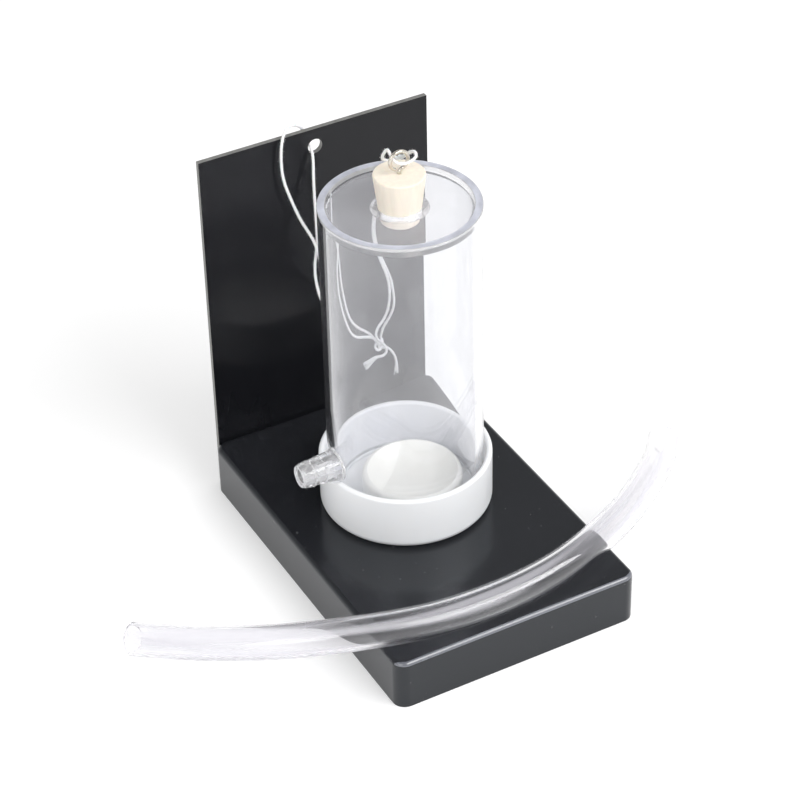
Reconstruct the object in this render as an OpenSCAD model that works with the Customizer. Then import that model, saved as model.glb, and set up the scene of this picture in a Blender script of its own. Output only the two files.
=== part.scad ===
// Gas work demonstration apparatus
// A clear compression tube with a hose nozzle and a stopper stands in a white cup on a black base.
// A black back plate stands behind it, a string ties the stopper to the plate, and a clear hose
// lies across the front of the base.
// X runs to the right, Y to the back and Z up. The origin is under the middle of the footprint.

/* [Base] */
// Width of the base, side to side
base_w = 102; // [92:1:140]
// Depth of the base, front to back
base_d = 152; // [130:1:190]
// Height of the base
base_h = 21; // [18:0.5:30]
// Radius of the upright corners
corner_r = 5; // [3.5:0.5:10]
// Radius of the rounded top edge
edge_r = 2; // [1:0.25:3]
// Thickness of the moulded walls
base_wall = 2.5; // [2:0.25:3.5]
// Thickness of the moulded top
base_top = 2.5; // [2:0.25:3.5]
// Thickness of the ribs underneath
rib_t = 1.8; // [1.2:0.1:2.5]
// Depth of the ribs underneath
rib_h = 6; // [4:0.5:8]
// Distance between the ribs
rib_pitch = 26; // [24:1:34]

/* [Back plate] */
// Width of the back plate
plate_w = 97; // [80:1:102]
// Height of the back plate
plate_h = 150; // [140:1:160]
// Thickness of the back plate
plate_t = 2; // [1.8:0.1:4]
// Gap between the plate's foot and the table
plate_lift = 1; // [0.5:0.25:4]
// Diameter of the string hole
plate_hole_d = 6; // [5.8:0.1:9]
// Depth of the string hole's centre below the top edge
plate_hole_drop = 7.5; // [7:0.1:8]

/* [Tube] */
// Outer diameter of the clear tube
tube_d = 60; // [54:1:66]
// Wall of the clear tube
tube_wall = 3; // [2:0.25:4]
// Length of the clear tube
tube_l = 129; // [120:1:129]
// Distance from the tube's axis to the rear face of the base
tube_back = 66.5; // [60:0.5:68]
// Small bevel on the tube's ends
tube_bevel = 0.3; // [0.1:0.1:0.6]

/* [Cup] */
// Height of the cup above the base
cup_h = 22.7; // [18:0.1:23]
// Thickness of the cup's wall at the rim
cup_wall = 2.3; // [1.8:0.1:4]
// Thickness of the cup's floor
cup_floor = 3; // [2.6:0.1:4]
// Gap round the tube at the cup's rim
cup_gap = 1; // [0.9:0.1:2]
// Height of the close-fitting seat round the tube's foot
cup_seat_h = 6; // [4:0.5:9]
// Radius of the cup's rounded foot
cup_foot_r = 3; // [1.5:0.25:4]
// Width of the shallow notch in the rim under the nozzle
notch_w = 13; // [12.6:0.2:14]
// Depth of the notch
notch_depth = 2.6; // [2.4:0.1:3]
// Diameter of the pegs that locate the cup in the base
peg_d = 7; // [6:0.5:8]
// Radius of the circle that the pegs lie on
peg_ring_r = 12; // [10:0.5:13]

/* [Dish and gasket] */
// Diameter of the dish inside the tube
dish_d = 39; // [34:0.5:46]
// Height of the dish
dish_h = 9.5; // [7:0.5:12]
// Radius of the dish's rolled rim
dish_rim_r = 2; // [1.5:0.1:2.5]
// Thickness of the dish's middle
dish_floor = 3; // [2:0.25:4]
// Distance by which the loose dish lies to the right of the tube's axis
dish_right = 2.9; // [0:0.1:3.4]
// Radius of the dish's hollow
dish_hollow_r = 40; // [32:1:80]
// Thickness of the gasket under the tube
gasket_t = 1.5; // [1:0.1:2]
// Width of the gasket ring
gasket_w = 3.2; // [2:0.1:5]

/* [Top disc] */
// Thickness of the disc that closes the tube
disc_t = 3; // [2:0.25:4]
// Depth of the disc's top below the tube's rim
disc_drop = 1.7; // [1.2:0.1:2.5]
// Bevel of the disc's upper edge
disc_bevel = 0.8; // [0.2:0.1:1.5]
// Outer diameter of the boss round the hole
boss_d = 21.5; // [20.5:0.5:26]
// Height of the boss above the disc
boss_h = 1.2; // [0.5:0.1:1.5]

/* [Nozzle] */
// Height of the nozzle's axis above the base
nozzle_z = 26.5; // [25.6:0.1:30]
// Length of the nozzle outside the tube
nozzle_l = 15.6; // [13:0.1:20]
// Bore of the nozzle
nozzle_bore = 5.6; // [4:0.1:6.2]
// Diameter of the nozzle's plain root
nozzle_root_d = 12.4; // [12:0.1:12.6]
// Diameter over the barb next to the root
barb_d = 11; // [10.8:0.1:12]
// Diameter over the outer barb
outer_barb_d = 10.6; // [10:0.1:10.6]
// Diameter of the stub in the tube's wall
stub_d = 8; // [7.6:0.1:9]
// Diameter of the saddle that is cemented to the tube
saddle_d = 13.5; // [13:0.5:15]
// Thickness of the saddle
saddle_t = 0.7; // [0.5:0.1:0.8]

/* [Stopper] */
// Diameter of the stopper's top
stopper_d = 19.4; // [18:0.1:21]
// Diameter of the stopper's lower end
stopper_end_d = 14.2; // [13:0.1:15.5]
// Length of the stopper
stopper_l = 21.2; // [20:0.1:24]
// Depth of the stopper's lower end below the top of the boss
stopper_in = 8; // [7:0.1:9.5]
// Small bevel on the stopper's ends
stopper_bevel = 0.5; // [0.2:0.1:1]
// Outer diameter of the screw eye's ring
eye_d = 8.7; // [8.4:0.1:9.2]
// Wire of the screw eye
eye_wire = 1.4; // [1:0.1:1.6]
// Height of the ring's underside above the stopper
eye_stem = 0.9; // [0.7:0.1:1.5]
// Depth of the screw eye in the stopper
eye_depth = 9; // [6:0.5:12]

/* [String and hose] */
// Diameter of the string
string_d = 1.2; // [0.8:0.05:1.3]
// Outer diameter of the clear hose
hose_d = 13; // [11:0.5:13]
// Bore of the clear hose
hose_bore = 10; // [7:0.5:10.5]

/* [Screws] */
// Diameter of the screws
screw_d = 2.9; // [2.5:0.1:3.2]
// Diameter of the flat heads behind the plate
flat_head_d = 5.8; // [5:0.1:6.5]
// Diameter of the pan heads under the cup
pan_head_d = 5.6; // [5:0.1:6.5]
// Height of the pan heads
pan_head_h = 2; // [1.5:0.1:2.5]
// Diameter of the washers under the cup
washer_d = 9; // [8:0.5:10]
// Thickness of the washers
washer_t = 0.8; // [0.5:0.1:1]
// Length of the screws behind the plate
plate_screw_l = 9; // [8:0.5:12]

/* [Hidden] */

$fn = 96;
// Clearance all round of a piece that is cemented or pushed into place
fit = 0.1;
// Clearance of the stopper in its hole, in the pushed-in place
stopper_fit = 0.12;
// Clearance round a screw in its pilot hole
screw_fit = 0.05;
// Clearance round a screw or a peg in a through hole
free_fit = 0.3;
// Length by which a cut runs past a face
over = 1;
// Length by which a cut runs past a curved wall
cut_room = 3;
// Plastic left above a pilot hole in the cup's floor, and above the screw in it
pilot_skin = 0.8;
screw_skin = 1;

base_front = -(base_d + plate_t) / 2;
base_rear = base_front + base_d;
base_mid = (base_front + base_rear) / 2;
under_top = base_h - base_top;
rib_foot = under_top - rib_h;
tube_y = base_rear - tube_back;
tube_r = tube_d / 2;
bore_r = tube_r - tube_wall;

cup_rim_z = base_h + cup_h;
cup_floor_z = base_h + cup_floor;
cup_bore_r = tube_r + cup_gap;
cup_seat_r = tube_r + fit;
cup_r = cup_bore_r + cup_wall;
tube_z = cup_floor_z + gasket_t;
tube_top = tube_z + tube_l;
peg_l = base_top - 0.2;
peg_turns = [90, 210, 330];

disc_top = tube_top - disc_drop;
disc_z = disc_top - disc_t;
boss_top = disc_top + boss_h;

stopper_z = boss_top - stopper_in;
stopper_top = stopper_z + stopper_l;
stopper_slope = (stopper_d - stopper_end_d) / 2 / stopper_l;
eye_z = stopper_top + eye_stem + eye_d / 2;
eye_r = (eye_d - eye_wire) / 2;

nozzle_axis_z = base_h + nozzle_z;
plate_top = plate_lift + plate_h;
plate_screw_x = plate_w / 3;
plate_screw_z = plate_lift + 10;
plate_boss_d = 7;
plate_boss_l = 7;
slot_w = 0.9;
slot_l = 3;
slot_depth = 1;

string_sides = 8;
hose_sides = 12;

// The string through the plate: from the knot up behind the tube, through the hole from the front,
// up behind the plate, over its top edge and down again to the knot
plate_route = [
    [13.4, 56.2, 60], [9.8, 56.5, 64], [5.6, 56.8, 65.4], [1, 57, 67], [-3, 57.2, 71.8],
    [-6, 57.8, 78.6], [-8.4, 58.8, 86], [-9.4, 60.2, 93.4], [-8.8, 61.8, 100], [-6.6, 63.8, 107.6],
    [-5.6, 65.6, 115], [-4.8, 67.6, 124], [-3.4, 70.6, 135], [-2.1, 73.4, 141.6],
    [-1.7, 76, 143.6], [-2.1, 78.2, 145.6], [-3.8, 78.6, 150.8], [-7.6, 78, 153.4],
    [-11.4, 76, 153.6], [-14, 73.8, 151.6], [-15.8, 72.2, 145], [-16, 70.6, 136],
    [-14.2, 68.8, 127.6], [-11.4, 66, 118], [-8.4, 63.2, 110.4], [-7.2, 61, 103], [-6.8, 59.2, 95],
    [-5, 58, 85.4], [-1.4, 57.6, 75.4], [4, 57.8, 69.4], [9.6, 58, 64.6], [12.9, 57.8, 59.8]];

// The string through the eye: from the knot up behind the tube, over its rim and the stopper, down
// through the ring, round its right side and back over the rim to the knot
stopper_route = [
    [15.2, 55.8, 60.2], [11.6, 55.2, 64.4], [12, 55, 68], [14.6, 55, 70.8], [17, 54, 76],
    [17.6, 52.6, 84], [16, 50.6, 92.6], [8.9, 46.4, 111], [6.6, 43.6, 122], [9.2, 39.4, 142],
    [12.2, 37.6, 152.2], [12.8, 36.2, 155.3], [12.4, 33.2, 156.4], [9, 26, 160],
    [3.4, 20.6, 164.8], [-1, 18.5, 168], [-2.2, 15.4, 172.6], [-2, 13, 175], [-1.8, 8.5, 172.8],
    [-0.2, 7, 172], [3.9, 6.6, 172], [6.2, 7.2, 173], [6.9, 9.4, 173.4], [6.4, 12, 172],
    [7, 16.4, 168.4], [9, 22.6, 163.6], [11.6, 29, 159.4], [13.8, 33.4, 156.6],
    [14.6, 35.4, 155.3], [14.4, 36.8, 152.2], [11.2, 39.4, 142], [8, 45, 122], [10, 47.8, 111],
    [17.6, 52, 92.6], [20.2, 53.9, 83], [20.8, 55.2, 76], [19, 56.4, 70.4], [16.4, 57.6, 65.6],
    [15.2, 58.2, 61]];

// The knot's middle, its size and tilt, and the two tails, each from its free end to the knot
knot_at = [14.4, 57, 58.4];
knot_size = 0.85;
knot_tilt = 45;
left_tail = [[6.8, 57, 51.4], [9.6, 57, 52.9], [12.6, 56.8, 53.4], [15.4, 56.2, 53.6],
    [16.9, 55.9, 55.2]];
right_tail = [[17.6, 57.9, 55.6], [20, 57.6, 53.6], [21.8, 57.3, 50.4], [22.5, 57, 47],
    [22.4, 57, 43.6]];

// The hose lies across the front of the base and droops to the table at both ends
hose_route = [
    [-121.6, 0.4, 7], [-111.4, -14.4, 12.2], [-99, -29.2, 17.4], [-85, -42.6, 22], [-69, -54, 25.8],
    [-51, -62.4, 27.9], [-31.8, -67.2, 27.8], [-12, -69, 27.8], [8, -68.2, 27.8],
    [27.6, -64.6, 27.8], [46.4, -58, 27.9], [64, -48.6, 26.4], [79.8, -36.8, 23.2],
    [94, -23.6, 18.6], [105.6, -10.8, 12.6], [114.7, 1.3, 7]];

function unit(v) = v / norm(v);

// Direction of a route at each of its points
function headings(route) = let (last = len(route) - 1)
    [for (i = [0:last]) unit(route[min(i + 1, last)] - route[max(i - 1, 0)])];

// A direction square to each heading, carried along the route without twist
function sides_of(heads) =
    [for (i = 0, side = unit(cross(heads[0], [0.31, 0.17, 0.94])); i < len(heads);
        i = i + 1, side = i < len(heads) ? unit(side - (side * heads[i]) * heads[i]) : side) side];

// The points of one round section at each point of a route
function rings(route, r, sides) = let (heads = headings(route), across = sides_of(heads))
    [for (i = [0:len(route) - 1]) let (up = cross(heads[i], across[i]))
        for (k = [0:sides - 1]) let (a = 360 * k / sides)
            route[i] + r * (cos(a) * across[i] + sin(a) * up)];

// Triangles between each ring and the next, over count rings
function skin(count, sides, start = 0, flip = false) =
    [for (i = [0:count - 2], k = [0:sides - 1])
        let (a = start + i * sides + k, b = start + i * sides + (k + 1) % sides)
            each flip ? [[a, b, a + sides], [b, b + sides, a + sides]]
                : [[a, a + sides, b], [b, a + sides, b + sides]]];

// A solid cord of diameter d along a route
module cord(route, d, sides) {
    count = len(route);
    last = (count - 1) * sides;
    polyhedron(rings(route, d / 2, sides),
        concat([[for (k = [0:sides - 1]) k]], skin(count, sides),
            [[for (k = [sides - 1:-1:0]) last + k]]));
}

// An open hose along a route, whose bore ends flush with its wall
module open_hose(route, d, bore, sides) {
    count = len(route);
    inner = count * sides;
    last = (count - 1) * sides;
    polyhedron(concat(rings(route, d / 2, sides), rings(route, bore / 2, sides)),
        concat(skin(count, sides), skin(count, sides, inner, true),
            [for (k = [0:sides - 1]) let (n = (k + 1) % sides) each
                [[k, n, inner + k], [n, inner + n, inner + k],
                [last + k, inner + last + k, last + n],
                [last + n, inner + last + k, inner + last + n]]]));
}

// The turns of an overhand knot, from one tail to the other, tilted in the plane of X and Z
function knot_turns(size, tilt) =
    [for (t = [205:12.4:515])
        let (x = sin(t) + 2 * sin(2 * t), z = cos(t) - 2 * cos(2 * t))
            size * [x * cos(tilt) - z * sin(tilt), 0.98 * sin(3 * t),
                x * sin(tilt) + z * cos(tilt)]];

// A rectangle with rounded corners
module rounded_plan(w, d, r) {
    square([w - 2 * r, d], center = true);
    square([w, d - 2 * r], center = true);
    for (x = [-1, 1], y = [-1, 1])
        translate([x * (w / 2 - r), y * (d / 2 - r)])
            circle(r);
}

// A block whose upright corners and top edge are rounded
module eased_block(w, d, h, r, e) {
    linear_extrude(h - e)
        rounded_plan(w, d, r);
    linear_extrude(h)
        rounded_plan(w - 2 * e, d - 2 * e, r - e);
    for (s = [-1, 1]) {
        translate([0, s * (d / 2 - e), h - e])
            rotate([0, 90, 0])
                cylinder(r = e, h = w - 2 * r, center = true);
        translate([s * (w / 2 - e), 0, h - e])
            rotate([90, 0, 0])
                cylinder(r = e, h = d - 2 * r, center = true);
    }
    for (x = [-1, 1], y = [-1, 1])
        translate([x * (w / 2 - r), y * (d / 2 - r), h - e])
            rotate_extrude()
                translate([r - e, 0])
                    circle(e);
}

// Places its children at each peg of the cup
module at_pegs(z) {
    for (turn = peg_turns)
        translate([peg_ring_r * cos(turn), tube_y + peg_ring_r * sin(turn), z])
            children();
}

// Places its children at each screw behind the plate, pointing forwards
module at_plate_screws(y) {
    for (s = [-1, 1])
        translate([s * plate_screw_x, y, plate_screw_z])
            rotate([90, 0, 0])
                children();
}

module ribs() {
    inner_front = base_front + base_wall;
    inner_rear = base_rear - base_wall;
    washer_room = 2.5;
    end_room = 6;
    ring_r = peg_ring_r + washer_d / 2 + washer_room;
    translate([0, 0, rib_foot]) {
        for (x = [-1, 1])
            translate([x * rib_pitch - rib_t / 2, inner_front - over, 0])
                cube([rib_t, inner_rear - inner_front + 2 * over, rib_h + over]);
        for (y = [tube_y - rib_pitch:-rib_pitch:inner_front + end_room])
            translate([-base_w / 2 + over, y - rib_t / 2, 0])
                cube([base_w - 2 * over, rib_t, rib_h + over]);
        for (y = [tube_y + rib_pitch:rib_pitch:inner_rear - end_room])
            translate([-base_w / 2 + over, y - rib_t / 2, 0])
                cube([base_w - 2 * over, rib_t, rib_h + over]);
        translate([0, tube_y, 0])
            difference() {
                cylinder(r = ring_r, h = rib_h + over);
                translate([0, 0, -over])
                    cylinder(r = ring_r - rib_t, h = rib_h + 3 * over);
            }
        for (turn = [0:90:270])
            translate([0, tube_y, 0])
                rotate([0, 0, turn])
                    translate([ring_r - rib_t / 2, -rib_t / 2, 0])
                        cube([rib_pitch - ring_r + rib_t / 2, rib_t, rib_h + over]);
    }
}

module base() {
    color("#17181a")
        difference() {
            union() {
                difference() {
                    translate([0, base_mid, 0])
                        eased_block(base_w, base_d, base_h, corner_r, edge_r);
                    translate([0, base_mid, -over])
                        linear_extrude(under_top + over)
                            rounded_plan(base_w - 2 * base_wall, base_d - 2 * base_wall,
                                max(corner_r - base_wall, 0.8));
                }
                ribs();
                at_plate_screws(base_rear - base_wall + over)
                    cylinder(d = plate_boss_d, h = plate_boss_l + over);
            }
            at_pegs(rib_foot)
                cylinder(d = peg_d + 2 * free_fit, h = base_h);
            at_plate_screws(base_rear + over)
                cylinder(d = screw_d + 2 * screw_fit, h = plate_screw_l + 2 * over);
        }
}

module back_plate() {
    color("#26282a")
        difference() {
            translate([-plate_w / 2, base_rear, plate_lift])
                cube([plate_w, plate_t, plate_h]);
            translate([0, base_rear - over, plate_top - plate_hole_drop])
                rotate([-90, 0, 0])
                    cylinder(d = plate_hole_d, h = plate_t + 2 * over);
            at_plate_screws(base_rear + plate_t + over)
                cylinder(d = screw_d + 2 * free_fit, h = plate_t + 2 * over);
            at_plate_screws(base_rear + plate_t)
                flat_head(2 * screw_fit);
        }
}

// A cross slot cut into a screw's head from its face
module cross_slot() {
    for (turn = [0, 90])
        rotate([0, 0, turn])
            translate([-slot_w / 2, -slot_l / 2, -over])
                cube([slot_w, slot_l, over + slot_depth]);
}

// The cone of a flat head, flush with the face it is sunk in, widened by a clearance
module flat_head(clearance) {
    head_h = (flat_head_d - screw_d) / 2;
    cylinder(d1 = flat_head_d + clearance, d2 = screw_d + clearance, h = head_h);
}

module plate_screws() {
    color("silver")
        at_plate_screws(base_rear + plate_t)
            difference() {
                union() {
                    flat_head(0);
                    cylinder(d = screw_d, h = plate_screw_l);
                }
                cross_slot();
            }
}

// Half of the cup's section, with its rounded foot, rim and tube seat
module cup_section() {
    round_r = cup_wall / 2;
    seat_top = cup_floor + cup_seat_h;
    difference() {
        union() {
            square([cup_r - cup_foot_r, cup_foot_r]);
            translate([0, cup_foot_r])
                square([cup_r, cup_h - cup_foot_r - round_r]);
            translate([cup_r - cup_foot_r, cup_foot_r])
                circle(cup_foot_r);
            translate([cup_r - round_r, cup_h - round_r])
                circle(round_r);
        }
        translate([-over, cup_floor])
            square([cup_seat_r + over, cup_h]);
        polygon([[cup_seat_r - over, seat_top], [cup_seat_r, seat_top],
            [cup_bore_r, seat_top + cup_gap], [cup_bore_r, cup_h - round_r],
            [cup_bore_r - over, cup_h + over], [cup_seat_r - over, cup_h + over]]);
    }
}

module cup() {
    notch_r = (notch_w * notch_w / 4 + notch_depth * notch_depth) / (2 * notch_depth);
    color("#e9edf2")
        difference() {
            union() {
                translate([0, tube_y, base_h])
                    rotate_extrude()
                        cup_section();
                at_pegs(base_h - peg_l)
                    cylinder(d = peg_d, h = peg_l + over);
            }
            translate([-cup_bore_r + cut_room, tube_y, cup_rim_z - notch_depth + notch_r])
                rotate([0, -90, 0])
                    cylinder(r = notch_r, h = cup_wall + 2 * cut_room);
            at_pegs(base_h - peg_l - over)
                cylinder(d = screw_d + 2 * screw_fit, h = peg_l + over + cup_floor - pilot_skin);
        }
}

module cup_screws() {
    color("silver")
        at_pegs(under_top - washer_t)
            difference() {
                union() {
                    translate([0, 0, -pan_head_h])
                        cylinder(d = pan_head_d, h = pan_head_h);
                    cylinder(d = screw_d, h = washer_t + base_top + cup_floor - screw_skin);
                }
                translate([0, 0, -pan_head_h])
                    cross_slot();
            }
}

module cup_washers() {
    color("lightgray")
        at_pegs(under_top - washer_t)
            difference() {
                cylinder(d = washer_d, h = washer_t);
                translate([0, 0, -over])
                    cylinder(d = screw_d + 2 * free_fit, h = washer_t + 2 * over);
            }
}

module tube_gasket() {
    color("#d9dde2")
        translate([0, tube_y, cup_floor_z])
            difference() {
                cylinder(r = tube_r, h = gasket_t);
                translate([0, 0, -over])
                    cylinder(r = tube_r - gasket_w, h = gasket_t + 2 * over);
            }
}

// Half of the dish's section, with a rolled rim round a shallow hollow
module dish_section() {
    foot_bevel = 0.6;
    rim_x = dish_d / 2 - dish_rim_r;
    difference() {
        union() {
            polygon([[0, 0], [dish_d / 2 - foot_bevel, 0], [dish_d / 2, foot_bevel],
                [dish_d / 2, dish_h - dish_rim_r], [0, dish_h - dish_rim_r]]);
            translate([rim_x, dish_h - dish_rim_r])
                circle(dish_rim_r);
        }
        intersection() {
            translate([0, dish_floor + dish_hollow_r])
                circle(dish_hollow_r);
            square([rim_x, dish_h]);
        }
    }
    translate([rim_x, dish_h - dish_rim_r])
        circle(dish_rim_r);
}

module inner_dish() {
    color("#ecefe8")
        translate([dish_right, tube_y, cup_floor_z])
            rotate_extrude()
                dish_section();
}

module tube() {
    color([0.85, 0.9, 1, 0.45])
        difference() {
            translate([0, tube_y, tube_z])
                rotate_extrude()
                    polygon([[bore_r, tube_bevel], [bore_r + tube_bevel, 0],
                        [tube_r - tube_bevel, 0], [tube_r, tube_bevel],
                        [tube_r, tube_l - tube_bevel], [tube_r - tube_bevel, tube_l],
                        [bore_r + tube_bevel, tube_l], [bore_r, tube_l - tube_bevel]]);
            translate([-bore_r + cut_room, tube_y, nozzle_axis_z])
                rotate([0, -90, 0])
                    cylinder(d = stub_d + 2 * screw_fit, h = tube_wall + 2 * cut_room);
        }
}

// Radius of the stopper at a height in the built model
function stopper_r(z) = stopper_end_d / 2 + (z - stopper_z) * stopper_slope;

module top_disc() {
    lead = 0.4;
    disc_r = bore_r - fit;
    color([0.85, 0.9, 1, 0.45])
        translate([0, tube_y, 0])
            rotate_extrude()
                polygon([[stopper_r(disc_z) + stopper_fit, disc_z], [disc_r, disc_z],
                    [disc_r, disc_top - disc_bevel], [disc_r - disc_bevel, disc_top],
                    [boss_d / 2, disc_top], [boss_d / 2, boss_top],
                    [stopper_r(boss_top) + stopper_fit + lead, boss_top],
                    [stopper_r(boss_top - lead) + stopper_fit, boss_top - lead]]);
}

// Half of the nozzle's section outside the tube: a tapered root, then two barbs with a groove
// behind each
module nozzle_section() {
    sunk = 3;
    root_r = nozzle_root_d / 2;
    shoulder_r = barb_d / 2;
    groove_r = barb_d / 2 - 0.7;
    groove_l = 0.6;
    root_l = nozzle_l * 0.44;
    step_l = nozzle_l * 0.72;
    fall = 0.5;
    tip_l = 1;
    tip_r = 4.3;
    polygon([[0, -sunk], [root_r, -sunk], [root_r, 0], [shoulder_r, root_l - groove_l],
        [groove_r, root_l - groove_l], [groove_r, root_l], [barb_d / 2, root_l],
        [barb_d / 2 - fall, step_l - groove_l], [groove_r - fall, step_l - groove_l],
        [groove_r - fall, step_l], [outer_barb_d / 2, step_l],
        [outer_barb_d / 2 - fall, nozzle_l - tip_l], [tip_r, nozzle_l], [0, nozzle_l]]);
}

module nozzle() {
    mouth_depth = 1;
    mouth_r = nozzle_bore / 2 + mouth_depth / 2;
    color([0.88, 0.91, 0.95, 0.7])
        translate([0, tube_y, nozzle_axis_z])
            rotate([0, -90, 0])
                difference() {
                    union() {
                        difference() {
                            union() {
                                translate([0, 0, tube_r])
                                    rotate_extrude()
                                        nozzle_section();
                                intersection() {
                                    translate([0, 0, bore_r])
                                        cylinder(d = saddle_d, h = tube_wall + cut_room);
                                    rotate([0, 90, 0])
                                        cylinder(r = tube_r + saddle_t, h = 2 * saddle_d,
                                            center = true);
                                }
                            }
                            rotate([0, 90, 0])
                                cylinder(r = tube_r + screw_fit, h = 3 * saddle_d, center = true);
                        }
                        translate([0, 0, bore_r])
                            cylinder(d = stub_d, h = tube_wall + over);
                    }
                    translate([0, 0, bore_r - over])
                        cylinder(d = nozzle_bore, h = tube_wall + nozzle_l + 2 * over);
                    translate([0, 0, tube_r + nozzle_l - mouth_depth])
                        cylinder(r1 = nozzle_bore / 2, r2 = mouth_r, h = mouth_depth + 0.001);
                }
}

module stopper() {
    b = stopper_bevel;
    pilot_room = 0.4;
    color("#efdfc4")
        translate([0, tube_y, 0])
            difference() {
                rotate_extrude()
                    polygon([[0, stopper_z], [stopper_end_d / 2 - b, stopper_z],
                        [stopper_r(stopper_z + b), stopper_z + b],
                        [stopper_r(stopper_top - b), stopper_top - b],
                        [stopper_d / 2 - b, stopper_top], [0, stopper_top]]);
                translate([0, 0, stopper_top - eye_depth - pilot_room])
                    cylinder(d = eye_wire + 2 * screw_fit, h = eye_depth + pilot_room + over);
            }
}

module screw_eye() {
    opening = 26;
    color("silver")
        translate([0, tube_y, 0]) {
            translate([0, 0, stopper_top - eye_depth])
                cylinder(d = eye_wire, h = eye_depth + eye_stem + eye_wire / 2);
            translate([0, 0, eye_z])
                rotate([90, 0, 0])
                    rotate([0, 0, -90])
                        rotate_extrude(angle = 360 - opening)
                            translate([eye_r, 0])
                                circle(d = eye_wire);
        }
}

module plate_string() {
    color("white")
        cord(plate_route, string_d, string_sides);
}

module stopper_string() {
    color("white")
        cord(stopper_route, string_d, string_sides);
}

module string_knot() {
    turns = [for (p = knot_turns(knot_size, knot_tilt)) knot_at + p];
    color("white")
        cord(concat(left_tail, turns, right_tail), string_d, string_sides);
}

module hose() {
    color([0.9, 0.92, 0.96, 0.6])
        open_hose(hose_route, hose_d, hose_bore, hose_sides);
}

base();
back_plate();
plate_screws();
cup();
cup_screws();
cup_washers();
tube_gasket();
inner_dish();
tube();
top_disc();
nozzle();
stopper();
screw_eye();
plate_string();
stopper_string();
string_knot();
hose();
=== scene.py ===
import math

import bmesh
import bpy
import numpy as np
from bpy.props import FloatProperty, FloatVectorProperty, IntProperty, PointerProperty
from bpy.types import Operator, Panel, PropertyGroup
from mathutils import Matrix, Vector


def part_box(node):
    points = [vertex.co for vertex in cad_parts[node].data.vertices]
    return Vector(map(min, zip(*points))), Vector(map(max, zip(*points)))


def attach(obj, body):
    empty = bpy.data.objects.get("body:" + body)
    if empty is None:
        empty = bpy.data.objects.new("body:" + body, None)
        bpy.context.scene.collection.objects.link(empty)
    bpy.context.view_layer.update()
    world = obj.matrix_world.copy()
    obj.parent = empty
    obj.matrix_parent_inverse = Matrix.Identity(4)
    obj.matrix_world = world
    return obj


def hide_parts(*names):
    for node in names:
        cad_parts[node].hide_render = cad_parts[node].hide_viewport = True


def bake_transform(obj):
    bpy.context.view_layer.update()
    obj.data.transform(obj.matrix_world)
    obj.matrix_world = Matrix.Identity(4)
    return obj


bl_info = {
    "name": "Gas work demonstration apparatus",
    "version": (1, 0, 0),
    "blender": (4, 5, 0),
    "location": "3D View > Sidebar > Gas work",
    "description": "Finishes, clear walls, strings and hose for a gas work demonstration set",
    "category": "Object",
}

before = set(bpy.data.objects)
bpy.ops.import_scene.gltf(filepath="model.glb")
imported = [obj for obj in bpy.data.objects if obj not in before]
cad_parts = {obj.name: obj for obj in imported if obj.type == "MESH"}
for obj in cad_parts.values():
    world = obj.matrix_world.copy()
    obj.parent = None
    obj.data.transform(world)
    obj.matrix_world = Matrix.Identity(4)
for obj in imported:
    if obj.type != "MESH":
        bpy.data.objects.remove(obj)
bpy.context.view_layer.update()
MM = 0.001

# Sizes that the model of the stand gives, and the disc's flat top beside its boss
TUBE_LOW, TUBE_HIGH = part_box("tube")
DISC_LOW, DISC_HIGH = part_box("top_disc")
DISH_LOW, DISH_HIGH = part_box("inner_dish")
STOPPER_LOW, STOPPER_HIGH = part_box("stopper")
EYE_LOW, EYE_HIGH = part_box("screw_eye")
BASE_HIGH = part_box("base")[1]
TUBE_AXIS = (TUBE_LOW + TUBE_HIGH) / 2
DISC_SHELF = DISC_LOW.z + 3 * MM

# The route of the string through the plate, in millimetres, from the knot and back to it
PLATE_ROUTE = [
    (13.4, 56.2, 60), (9.8, 56.5, 64), (5.6, 56.8, 65.4), (1, 57, 67), (-3, 57.2, 71.8),
    (-6, 57.8, 78.6), (-8.4, 58.8, 86), (-9.4, 60.2, 93.4), (-8.8, 61.8, 100),
    (-6.6, 63.8, 107.6), (-5.6, 65.6, 115), (-4.8, 67.6, 124), (-3.4, 70.6, 135),
    (-2.1, 73.4, 141.6), (-1.7, 76, 143.6), (-2.1, 78.2, 145.6), (-3.8, 78.6, 150.8),
    (-7.6, 78, 153.4), (-11.4, 76, 153.6), (-14, 73.8, 151.6), (-15.8, 72.2, 145),
    (-16, 70.6, 136), (-14.2, 68.8, 127.6), (-11.4, 66, 118), (-8.4, 63.2, 110.4),
    (-7.2, 61, 103), (-6.8, 59.2, 95), (-5, 58, 85.4), (-1.4, 57.6, 75.4), (4, 57.8, 69.4),
    (9.6, 58, 64.6), (12.9, 57.8, 59.8),
]

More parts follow.
